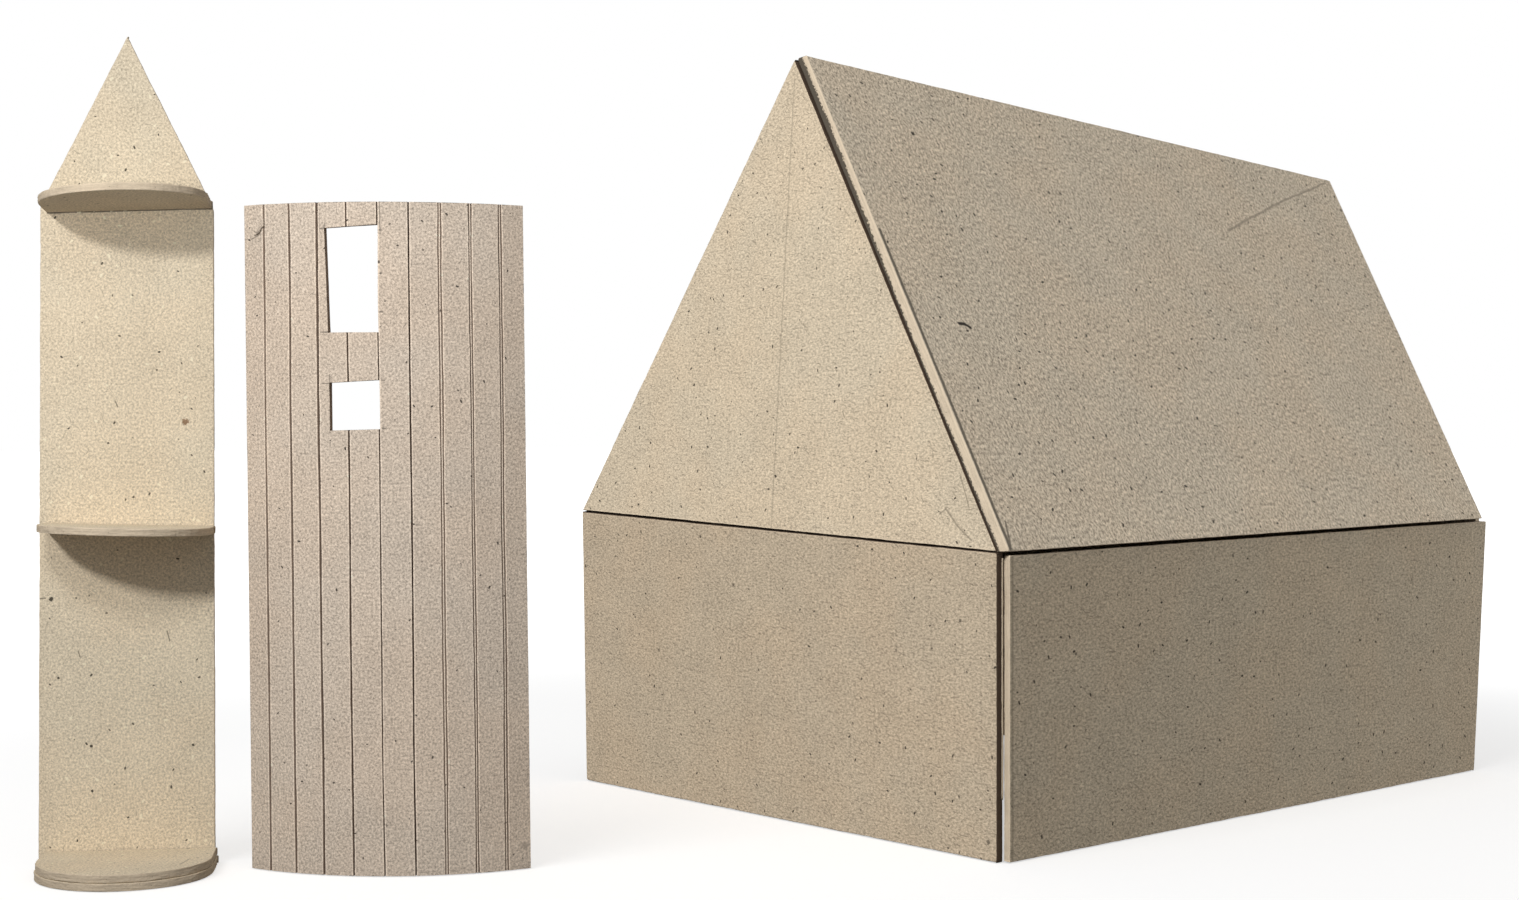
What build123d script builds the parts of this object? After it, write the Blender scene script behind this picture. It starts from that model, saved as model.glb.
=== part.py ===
from build123d import *
from math import cos, radians, sin
import os

# Cardboard castle: a set of greyboard craft pieces that stand on one table.
# A round tower comes as its frame (a tall pointed back panel with half-round shelves) and,
# beside it, the scored sheet that wraps its front. The hall is folded from half-cut boards.
# The origin is on the table, on the middle line of the tower's back panel, where the straight
# sides of the tower's base turn into its round edge. +Z is up. The hall stands square to X and
# Y, and the tower pieces face the viewer of the set.

up = Vector(0, 0, 1)

# Greyboard
tower_board = 2.5
base_board = 2.6
hall_board = 3.0
fold_skin = 0.5
score_mouth = 0.6
seat = 0.2

# Where the pieces of the set stand
tower_angle = 59.0
wall_angle = 50.0
wall_right_distance = 90.6
wall_back_distance = 11.0
hall_east = 56.0
hall_north = 244.0

# Tower frame: back panel
panel_width = 59.0
panel_foot_width = 60.2
shoulder_height = 230.0
spire_height = 59.8

# Tower frame: half-round shelves, with straight sides before the round edge. The two upper
# ones were glued a little crooked: their front stands higher, and one end hangs lower.
shelf_side = 17.0
base_radius = 30.1
base_step = 0.4
base_offset = 1.1
middle_shelf_radius = 29.1
middle_shelf_offset = 1.0
middle_shelf_height = 116.6
middle_shelf_front_angle = 0.7
middle_shelf_side_angle = -1.6
top_shelf_radius = 28.5
top_shelf_offset = 0.8
top_shelf_height = 228.7
top_shelf_front_angle = 3.5
top_shelf_side_angle = 2.3

# Tower wall: a sheet scored into strips and bent at the scores
wall_height = 230.0
wall_lean = 2.8
strip_count = 10
strip_width = 10.6
edge_strip_width = 9.0
strip_angle = 7.0
strips_left_of_windows = 3
strips_across_windows = 2
tall_window_inset = 2.8
tall_window_sill = 185.5
tall_window_height = 35.5
window_gap = 17.5
small_window_inset = 4.1
small_window_height = 16.0
window_skew = 1.0

# Hall: walls and gables
gable_width = 245.0
gable_foot_overhang = 1.3
gable_eave_overhang = 4.5
gable_lean = 12.0
gable_height = 298.4
front_fold_left = 116.5
front_fold_right = 109.0
hall_depth = 319.5
rear_width = 214.4
rear_lean = 10.5
corner_tear = 22.0

# Hall: roof boards, by the lower corners of their inner faces
eave_slack = 0.4
eave_gap = 1.0
eave_rise = 2.8
eave_end = 4.5
ridge_slack = 1.6
ridge_fall = 26.3
ridge_overhang = 35.2
rear_gable_inset = 1.0
roof_bevel = 2.2


# The tower's frame is drawn on a floor plane turned towards the viewer: x runs to the viewer's
# right and y away from the viewer. The panel's face is where the shelves' straight sides end.
tower_floor = Plane.XY.rotated((0, 0, tower_angle))
tower_right = tower_floor.x_dir
tower_away = tower_floor.y_dir
panel_face = Plane(tower_away * shelf_side, x_dir=tower_right, z_dir=-tower_away)


def half_round_board(plane, radius, offset, thickness=tower_board):
    """A board with a straight back edge on the panel, two straight sides and a round front."""
    overlap = tower_board
    with BuildPart() as board:
        with BuildSketch(plane):
            with BuildLine():
                right_start = (offset + radius, -shelf_side)
                left_end = (offset - radius, -shelf_side)
                Polyline(left_end, (left_end[0], overlap), (right_start[0], overlap), right_start)
                ThreePointArc(right_start, (offset, -shelf_side - radius), left_end)
            make_face()
        extrude(amount=thickness)
        split(bisect_by=panel_face, keep=Keep.TOP)
    return board


def shelf_plane(height, front_angle=0.0, side_angle=0.0):
    """The plane of a shelf's underside, from the middle of its back edge on the panel's face.

    The front angle lifts the round front, and the side angle lifts the right end.
    """
    back_edge = tower_away * shelf_side + up * height
    rightward = tower_right * cos(radians(side_angle)) + up * sin(radians(side_angle))
    backward = tower_away * cos(radians(front_angle)) - up * sin(radians(front_angle))
    return Plane(back_edge, x_dir=rightward, z_dir=rightward.cross(backward))


with BuildPart() as tower_back_panel:
    with BuildSketch(panel_face):
        Polygon(
            (-panel_foot_width / 2, 0),
            (panel_foot_width / 2, 0),
            (panel_width / 2, shoulder_height),
            (0, shoulder_height + spire_height),
            (-panel_width / 2, shoulder_height),
            align=None,
        )
    extrude(amount=-tower_board)

base_half_disc_lower = half_round_board(shelf_plane(0), base_radius, base_offset, base_board)
base_half_disc_upper = half_round_board(
    shelf_plane(base_board + seat), base_radius - base_step, base_offset, base_board
)
middle_half_disc = half_round_board(
    shelf_plane(middle_shelf_height, middle_shelf_front_angle, middle_shelf_side_angle),
    middle_shelf_radius,
    middle_shelf_offset,
)
top_half_disc = half_round_board(
    shelf_plane(top_shelf_height, top_shelf_front_angle, top_shelf_side_angle),
    top_shelf_radius,
    top_shelf_offset,
)


# The tower wall in plan: its strips follow one another along the outer face, each turned a
# little from the last, so the sheet bulges towards the viewer. The folds are half cut from
# the outside and open into narrow grooves, and a thin skin of board holds each fold. The sheet
# was cut a little askew, so its side edges and scores lean to the viewer's left.
strip_headings = [strip_angle * (i - (strip_count - 1) / 2) for i in range(strip_count)]
strip_widths = [strip_width] * strip_count
strip_widths[0] = edge_strip_width
strip_widths[-1] = edge_strip_width

outer_points = [Vector(0, 0)]
for heading, width in zip(strip_headings, strip_widths):
    outer_points.append(outer_points[-1] + Vector(width, 0).rotate(Axis.Z, heading))
sheet_middle = (outer_points[0] + outer_points[-1]) * 0.5
outer_points = [point - sheet_middle for point in outer_points]

fold_headings = [(a + b) / 2 for a, b in zip(strip_headings, strip_headings[1:])]
point_headings = [strip_headings[0]] + fold_headings + [strip_headings[-1]]
fold_reach = tower_board / cos(radians(strip_angle / 2))
point_reaches = [tower_board] + [fold_reach] * len(fold_headings) + [tower_board]
inner_points = [
    point + Vector(0, reach).rotate(Axis.Z, heading)
    for point, reach, heading in zip(outer_points, point_reaches, point_headings)
]
wall_axes = Plane.XY.rotated((0, 0, wall_angle))
wall_right = wall_axes.x_dir
wall_away = wall_axes.y_dir
wall_place = wall_right * wall_right_distance + wall_away * wall_back_distance
wall_floor = Plane(wall_place, x_dir=wall_right, z_dir=up)
wall_front = Plane(wall_place, x_dir=wall_right, z_dir=-wall_away)
wall_rise = up * wall_height - wall_right * wall_lean
window_left = outer_points[strips_left_of_windows].X
window_right = outer_points[strips_left_of_windows + strips_across_windows].X
small_window_top = tall_window_sill - window_gap
small_window_sill = small_window_top - small_window_height


def window_outline(left_inset, sill, head, foot_skew, sill_rise):
    """The corners of a window on the sheet's front, leaning with the scores.

    The left edge starts at its inset from the score there, and the right edge is on a score.
    """
    corners = (
        (window_left + left_inset + foot_skew, sill),
        (window_right, sill + sill_rise),
        (window_right, head + window_skew),
        (window_left + left_inset, head),
    )
    return [(x - wall_lean * height / wall_height, height) for x, height in corners]


with BuildPart() as tower_wall:
    with BuildSketch(wall_floor):
        with BuildLine():
            Polyline(*outer_points, *reversed(inner_points), close=True)
        make_face()
    extrude(amount=wall_rise.length, dir=wall_rise)
    with BuildSketch(wall_floor):
        for point, heading in zip(outer_points[1:-1], fold_headings):
            with Locations(Location((point.X, point.Y, 0), (0, 0, heading))):
                Polygon(
                    (-score_mouth / 2, -seat),
                    (score_mouth / 2, -seat),
                    (0, tower_board - fold_skin),
                    align=None,
                )
    extrude(amount=wall_rise.length, dir=wall_rise, mode=Mode.SUBTRACT)
    with BuildSketch(wall_front):
        tall_window_head = tall_window_sill + tall_window_height
        Polygon(
            *window_outline(
                tall_window_inset, tall_window_sill, tall_window_head, window_skew, 0
            ),
            align=None,
        )
        Polygon(
            *window_outline(
                small_window_inset, small_window_sill, small_window_top, 0, window_skew / 2
            ),
            align=None,
        )
    extrude(amount=panel_width / 2, both=True, mode=Mode.SUBTRACT)


def hall(x, y, z):
    """A point of the hall, measured from the middle of the front gable's foot."""
    return Vector(hall_east + x, hall_north + y, z)


def plane_through(first, second, third):
    """The plane through three points that run anticlockwise as seen from its outer side."""
    return Plane(first, x_dir=second - first, z_dir=(second - first).cross(third - first))


def point_on(plane, y, z):
    """The point of the plane at this distance behind the front gable and this height."""
    gap = (plane.origin - hall(0, y, z)).dot(plane.z_dir)
    return hall(gap / plane.z_dir.X, y, z)


# The roof boards are flat. The right one lies over the front gable's sloping edge. The left
# one is tucked behind that gable, flush with its edge, and butts against the right one.
half_gable = gable_width / 2
half_rear = rear_width / 2
eave_end_depth = hall_depth + eave_end
ridge_end_depth = hall_depth + ridge_overhang
ridge_front_height = gable_height - seat
ridge_rear_height = ridge_front_height - ridge_fall
rear_eave_height = front_fold_right + eave_rise
gable_foot_left = hall(-half_gable - gable_foot_overhang, 0, 0)
fold_left_end = hall(-half_gable - gable_eave_overhang, 0, front_fold_left)
fold_right_end = hall(half_gable, 0, front_fold_right)
gable_peak = hall(0, gable_lean, gable_height)
right_roof_inside = plane_through(
    hall(half_gable + eave_slack, 0, front_fold_right),
    hall(ridge_slack, ridge_end_depth, ridge_rear_height),
    hall(ridge_slack, gable_lean, ridge_front_height),
)
left_roof_outside = plane_through(
    fold_left_end,
    gable_peak,
    point_on(right_roof_inside, ridge_end_depth, ridge_rear_height),
)
left_roof_inside = left_roof_outside.offset(-hall_board)


def local_corners(plane, *corners):
    """Points that lie on a plane, in its own coordinates."""
    local = [plane.to_local_coords(corner) for corner in corners]
    return [(corner.X, corner.Y) for corner in local]


# The front sheet: gable wall, the gable's triangle folded back at the eave, and right wall
front_face = Plane(hall(0, 0, 0), x_dir=(1, 0, 0), z_dir=(0, -1, 0))
triangle_face = plane_through(fold_left_end, fold_right_end, gable_peak)
fold_section = Plane(fold_left_end, x_dir=(0, 1, 0), z_dir=fold_right_end - fold_left_end)
fold_length = (fold_right_end - fold_left_end).length
front_corner = hall(half_gable + hall_board, hall_board, 0)
rear_corner = hall(half_rear, hall_depth, 0)
right_wall_run = rear_corner - front_corner
right_wall_top_length = right_wall_run.length * (1 + rear_lean / right_wall_run.Y)
right_wall_face = Plane(front_corner, x_dir=right_wall_run, z_dir=right_wall_run.cross(up))
right_wall_inside = right_wall_face.offset(-hall_board)
front_top = front_fold_right - eave_gap
rear_top = rear_eave_height - eave_gap


def skin_sketch(x, y):
    """The skin that holds a folded corner, centred on the corner's inner edge, in plan."""
    with BuildSketch(Plane.XY) as skin:
        with Locations(hall(x, y, 0)):
            Rectangle(2 * fold_skin, 2 * fold_skin)
    return skin.sketch


with BuildPart() as hall_front_sheet:
    with BuildSketch(front_face):
        Polygon(
            *local_corners(
                front_face, gable_foot_left, hall(half_gable, 0, 0), fold_right_end, fold_left_end
            ),
            align=None,
        )
    extrude(amount=-hall_board)
    with BuildSketch(triangle_face):
        Polygon(
            *local_corners(triangle_face, fold_left_end, fold_right_end, gable_peak), align=None
        )
    extrude(amount=-hall_board)
    with BuildSketch(right_wall_face):
        Polygon(
            (0, 0),
            (right_wall_run.length, 0),
            (right_wall_top_length, rear_top),
            (0, front_top),
            align=None,
        )
    extrude(amount=-hall_board)
    extrude(skin_sketch(half_gable, hall_board), amount=front_top)
    with BuildSketch(fold_section):
        Polygon(
            (-seat, -score_mouth / 2),
            (-seat, score_mouth / 2),
            (hall_board - fold_skin, 0),
            align=None,
        )
    extrude(amount=fold_length, mode=Mode.SUBTRACT)
    with Locations(hall(half_gable, hall_board, 0)):
        Box(
            3 * fold_skin,
            3 * fold_skin,
            2 * corner_tear,
            rotation=(0, 0, -45),
            mode=Mode.SUBTRACT,
        )

# The rear sheet: a wall that leans out, its triangle folded further out at the eave to close
# the roof's end, and the left wall folded at the rear left corner
rear_left = half_rear - hall_board
rear_foot = hall_depth
rear_fold = hall_depth + rear_lean
rear_peak = ridge_end_depth - rear_gable_inset
rear_face = plane_through(
    hall(half_rear, rear_foot, 0),
    hall(-half_rear, rear_foot, 0),
    hall(-half_rear, rear_fold, rear_eave_height),
)
rear_triangle_face = plane_through(
    hall(half_gable, rear_fold, rear_eave_height),
    hall(-half_gable, rear_fold, rear_eave_height),
    hall(0, rear_peak, ridge_front_height),
)
rear_fold_section = Plane(
    hall(half_gable, rear_fold, rear_eave_height), x_dir=(0, -1, 0), z_dir=(-1, 0, 0)
)
left_wall_rear = hall(-half_rear, hall_depth - hall_board, 0)
left_wall_run = hall(-half_gable, 0, 0) - left_wall_rear
left_wall_top_overrun = left_wall_run.length * rear_lean / abs(left_wall_run.Y)
left_wall_face = Plane(left_wall_rear, x_dir=left_wall_run, z_dir=left_wall_run.cross(up))
gable_back = Plane(hall(0, hall_board + seat, 0), x_dir=(1, 0, 0), z_dir=(0, 1, 0))

with BuildPart() as hall_rear_sheet:
    with BuildSketch(rear_face):
        Polygon(
            *local_corners(
                rear_face,
                hall(half_rear, rear_foot, 0),
                hall(-rear_left, rear_foot, 0),
                hall(-rear_left, rear_fold, rear_eave_height),
                hall(half_rear, rear_fold, rear_eave_height),
            ),
            align=None,
        )
    extrude(amount=-hall_board)
    with BuildSketch(rear_triangle_face):
        Polygon(
            *local_corners(
                rear_triangle_face,
                hall(half_gable, rear_fold, rear_eave_height),
                hall(-half_gable, rear_fold, rear_eave_height),
                hall(0, rear_peak, ridge_front_height),
            ),
            align=None,
        )
    extrude(amount=-hall_board)
    with BuildSketch(rear_fold_section):
        with Locations((fold_skin / 2, 0)):
            Rectangle(fold_skin, fold_skin)
    extrude(amount=gable_width)
    split(bisect_by=right_roof_inside.offset(-seat), keep=Keep.BOTTOM)
    split(bisect_by=left_roof_inside.offset(-seat), keep=Keep.BOTTOM)
    split(bisect_by=right_wall_inside.offset(-seat), keep=Keep.BOTTOM)
    with BuildSketch(left_wall_face):
        Polygon(
            (0, 0),
            (left_wall_run.length, 0),
            (left_wall_run.length, front_fold_left - eave_gap),
            (-left_wall_top_overrun, rear_top),
            align=None,
        )
    extrude(amount=-hall_board)
    rear_slant = Vector(0, rear_lean, rear_top)
    extrude(
        skin_sketch(-rear_left, hall_depth - hall_board), amount=rear_slant.length, dir=rear_slant
    )
    split(bisect_by=gable_back, keep=Keep.TOP)


def roof_corners(plane, front_eave, rise=0.0):
    """The corners of a roof board on its inner face, as points of that plane."""
    return local_corners(
        plane,
        point_on(plane, 0, front_eave),
        point_on(plane, eave_end_depth, rear_eave_height),
        point_on(plane, ridge_end_depth, ridge_rear_height + rise),
        point_on(plane, gable_lean, ridge_front_height + rise),
    )


with BuildPart() as right_roof_panel:
    with BuildSketch(right_roof_inside):
        Polygon(*roof_corners(right_roof_inside, front_fold_right), align=None)
    extrude(amount=hall_board)
    outer_edges = right_roof_panel.faces().filter_by(right_roof_inside).sort_by(Axis.X)[-1].edges()
    chamfer(outer_edges.sort_by(Axis.Y)[0], length=roof_bevel)

with BuildPart() as left_roof_panel:
    with BuildSketch(left_roof_inside):
        Polygon(*roof_corners(left_roof_inside, front_fold_left, rise=hall_board), align=None)
    extrude(amount=hall_board)
    split(bisect_by=right_roof_inside.offset(-seat), keep=Keep.BOTTOM)
    split(bisect_by=triangle_face.offset(-hall_board - seat), keep=Keep.BOTTOM)

pieces = {
    "tower_back_panel": tower_back_panel,
    "base_half_disc_lower": base_half_disc_lower,
    "base_half_disc_upper": base_half_disc_upper,
    "middle_half_disc": middle_half_disc,
    "top_half_disc": top_half_disc,
    "tower_wall": tower_wall,
    "hall_front_sheet": hall_front_sheet,
    "hall_rear_sheet": hall_rear_sheet,
    "right_roof_panel": right_roof_panel,
    "left_roof_panel": left_roof_panel,
}
os.makedirs("parts", exist_ok=True)
for name, piece in pieces.items():
    piece.part.label = name
    export_step(piece.part, f"parts/{name}.step")
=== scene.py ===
"""The looks of the cardboard castle: greyboard pieces, knife cut, scored and folded.

Each flat board is one closed surface: its outline is carried from the front, over the rough
cut rim, to the back. The tower's curved sheet is a grid with grooves and windows.
"""

from collections import namedtuple
from functools import partialmethod
from math import cos, pi, radians, sin

import bpy
import numpy as np
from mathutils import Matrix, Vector


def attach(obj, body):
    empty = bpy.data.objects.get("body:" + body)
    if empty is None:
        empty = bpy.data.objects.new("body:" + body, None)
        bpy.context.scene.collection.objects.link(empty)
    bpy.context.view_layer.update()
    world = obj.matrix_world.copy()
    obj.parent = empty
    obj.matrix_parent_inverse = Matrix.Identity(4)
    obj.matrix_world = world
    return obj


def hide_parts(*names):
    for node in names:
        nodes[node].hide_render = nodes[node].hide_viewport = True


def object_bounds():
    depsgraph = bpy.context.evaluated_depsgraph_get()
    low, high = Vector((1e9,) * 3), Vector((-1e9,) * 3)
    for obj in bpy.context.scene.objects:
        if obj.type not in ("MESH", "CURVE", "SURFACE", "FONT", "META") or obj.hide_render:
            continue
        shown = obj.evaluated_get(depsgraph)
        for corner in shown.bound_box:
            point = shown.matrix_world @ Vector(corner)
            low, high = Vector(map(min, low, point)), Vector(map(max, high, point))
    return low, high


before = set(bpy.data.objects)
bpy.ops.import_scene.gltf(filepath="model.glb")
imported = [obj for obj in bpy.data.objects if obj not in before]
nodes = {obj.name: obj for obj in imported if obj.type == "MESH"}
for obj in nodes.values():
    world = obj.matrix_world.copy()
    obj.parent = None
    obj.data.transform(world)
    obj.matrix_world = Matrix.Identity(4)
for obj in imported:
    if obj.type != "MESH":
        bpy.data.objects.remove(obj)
cad_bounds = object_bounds()

MM = 0.001
UP = np.array((0.0, 0.0, 1.0))
FRONT = (0, -1, 0)

# The way the viewer looks at the set, turned from the hall's own axes
VIEWER_TURN = radians(50)
TO_RIGHT = np.array((cos(VIEWER_TURN), sin(VIEWER_TURN), 0.0))
AWAY = np.array((-sin(VIEWER_TURN), cos(VIEWER_TURN), 0.0))

# Greyboard
TOWER_BOARD = 2.5 * MM
BASE_BOARD = 2.6 * MM
HALL_BOARD = 3.0 * MM
PLIES = 7


# Noise on arrays

def smooth_noise(place, step, rng, loop=None):
    """Noise between -1 and 1 along a line: random heights a step apart, joined by a cubic
    ease. With a loop length the last height meets the first."""
    count = int(np.ceil((loop or np.ptp(place) + step) / step)) + 1
    heights = rng.uniform(-1, 1, count)
    if loop:
        heights[-1] = heights[0]
        position = (place % loop) / loop * (count - 1)
    else:
        position = (place - place.min()) / step
    low = np.clip(np.floor(position).astype(int), 0, count - 2)
    ease = position - low
    ease = ease * ease * (3 - 2 * ease)
    return heights[low] * (1 - ease) + heights[low + 1] * ease


def layered_noise(place, plies, step, rng, loop):
    """Noise along a rim, a line of its own for each ply of the board, for ply numbers that
    may lie between two plies."""
    lines = np.array([smooth_noise(place, step, rng, loop) for _ in range(PLIES + 1)])
    low = np.clip(np.floor(plies).astype(int), 0, PLIES - 1)
    ease = np.clip((plies - low - 0.35) / 0.3, 0, 1)[:, None]
    return lines[low] * (1 - ease) + lines[low + 1] * ease


# Meshes from arrays. A shell is a surface: its points, its polygons' corners and sizes, the
# corners' places on the board's own drawing, and the number of each polygon's finish.
Shell = namedtuple("Shell", "points corners sizes drawing finishes")
FACE, CUT, LIP = 0, 1, 2


def make_piece(name, shells, materials, replaced):
    """One object made of shells, which stands for a node of the frame. A fibre that would
    reach past the frame's box lies flat against its side."""
    starts = np.cumsum([0] + [len(shell.points) for shell in shells])
    shells = [
        shell._replace(corners=shell.corners + start) for shell, start in zip(shells, starts)
    ]
    points, corners, sizes, drawing, finishes = map(np.concatenate, zip(*shells))
    points = np.clip(points, *np.array(cad_bounds))
    mesh = bpy.data.meshes.new(name)
    mesh.vertices.add(len(points))
    mesh.vertices.foreach_set("co", points.ravel())
    mesh.loops.add(len(corners))
    mesh.loops.foreach_set("vertex_index", corners)
    mesh.polygons.add(len(sizes))
    mesh.polygons.foreach_set("loop_start", np.cumsum(sizes) - sizes)
    mesh.polygons.foreach_set("loop_total", sizes)
    mesh.polygons.foreach_set("material_index", finishes)
    mesh.polygons.foreach_set("use_smooth", np.ones(len(sizes), bool))
    mesh.uv_layers.new(name="drawing").data.foreach_set("uv", drawing.ravel())
    for material in materials:
        mesh.materials.append(material)
    mesh.update()
    mesh.validate()
    piece = bpy.data.objects.new(name, mesh)
    bpy.context.scene.collection.objects.link(piece)
    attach(piece, "root")
    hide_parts(replaced)
    return piece


def ring_quads(here, following=None):
    """What each quad between two closed rows of a grid has at its four corners."""
    following = np.roll(here, -1, axis=1) if following is None else following
    return np.stack((here[:-1], here[1:], following[1:], following[:-1]), axis=2)


def closed_tubes(line, side, other, thick, sides, rng):
    """Tubes round lines, closed at both ends, from each tube's points, its two directions
    across and its thickness by point."""
    angle = (np.arange(sides) * 2 * pi / sides)[:, None]
    ring = side[:, None, None] * np.cos(angle) + other[:, None, None] * np.sin(angle)
    points = line[:, :, None] + ring * thick[:, :, None, None]
    index = np.arange(points.size // 3).reshape(points.shape[:3])
    turned = np.roll(index, -1, axis=2)
    quads = np.stack((index[:, :-1], turned[:, :-1], turned[:, 1:], index[:, 1:]), axis=-1)
    ends = np.concatenate((index[:, 0, ::-1].ravel(), index[:, -1].ravel()))
    corners = np.concatenate((quads.ravel(), ends))
    sizes = np.concatenate((np.full(quads.size // 4, 4), np.full(2 * len(points), sides)))
    drawing = rng.uniform(0, 0.2, (len(corners), 2))
    return Shell(points.reshape(-1, 3), corners, sizes, drawing, np.full(len(sizes), CUT))


# Flat boards. Rows from the inner loop on the front to the rim: inset and depth.
FRONT_ROWS = np.array(
    ((2.4, 0.0), (1.3, 0.0), (0.75, 0.0), (0.42, 0.0), (0.2, 0.012), (0.07, 0.07), (0.0, 0.2))
) * MM
RIM_ROWS = 9
SHORTEST_EDGE = 0.6 * MM
# The back's places on the drawing lie beside the front's
BACK_SHIFT = (0.5, 0.0)
# Roughness of a knife cut, in millimetres: length and share of each kind of wave
FACETS, NICKS = (9.0, 0.34), (1.1, 0.12)
PLY_WAVES, PLY_FRAY = (2.6, 0.3), (0.7, 0.16)
GRIT = 0.05
CORNER_WEAR, WEAR_REACH = 0.3, 0.5
BULGE_WAVE, BULGE = 3.1, 0.05


def flat_side(node, towards):
    """The corners of a node's large flat side that looks towards a direction, anticlockwise
    from outside, and its unit normal."""
    mesh = nodes[node].data
    co = np.empty(len(mesh.vertices) * 3)
    mesh.vertices.foreach_get("co", co)
    mesh.calc_loop_triangles()
    index = np.empty(len(mesh.loop_triangles) * 3, int)
    mesh.loop_triangles.foreach_get("vertices", index)
    triangles = co.reshape(-1, 3)[index].reshape(-1, 3, 3)
    cross = np.cross(triangles[:, 1] - triangles[:, 0], triangles[:, 2] - triangles[:, 0])
    double_area = np.linalg.norm(cross, axis=1)
    normals = cross / np.maximum(double_area, 1e-12)[:, None]
    planes = np.column_stack((normals * 300, (normals * triangles[:, 0]).sum(1) * 20000)).round()
    kinds, kind = np.unique(planes, axis=0, return_inverse=True)
    areas = np.bincount(kind.ravel(), double_area / 2)
    facing = kinds[:, :3] @ np.asarray(towards, float) / 300
    chosen = np.argmax(np.where(areas > 0.2 * areas.max(), facing, -9))
    members = triangles[kind.ravel() == chosen].reshape(-1, 3)
    normal = (cross[kind.ravel() == chosen]).sum(0)
    normal /= np.linalg.norm(normal)
    corners = np.unique(members.round(7), axis=0)
    across, upward = board_axes(normal)
    from_centre = corners - corners.mean(0)
    turn = np.arctan2(from_centre @ upward, from_centre @ across)
    return corners[np.argsort(turn)], normal


def board_axes(normal):
    """The two directions of a board's own drawing: level, and up the board."""
    across = np.cross(UP, normal)
    if np.linalg.norm(across) < 0.2:
        across = TO_RIGHT - normal * (TO_RIGHT @ normal)
    across = across / np.linalg.norm(across)
    return across, np.cross(normal, across)


def edges_of(outline, normal):
    """The run along each edge of an outline, its length, and the way out of the board."""
    run = np.roll(outline, -1, axis=0) - outline
    length = np.linalg.norm(run, axis=1)
    return run, length, np.cross(run / length[:, None], normal)


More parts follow.
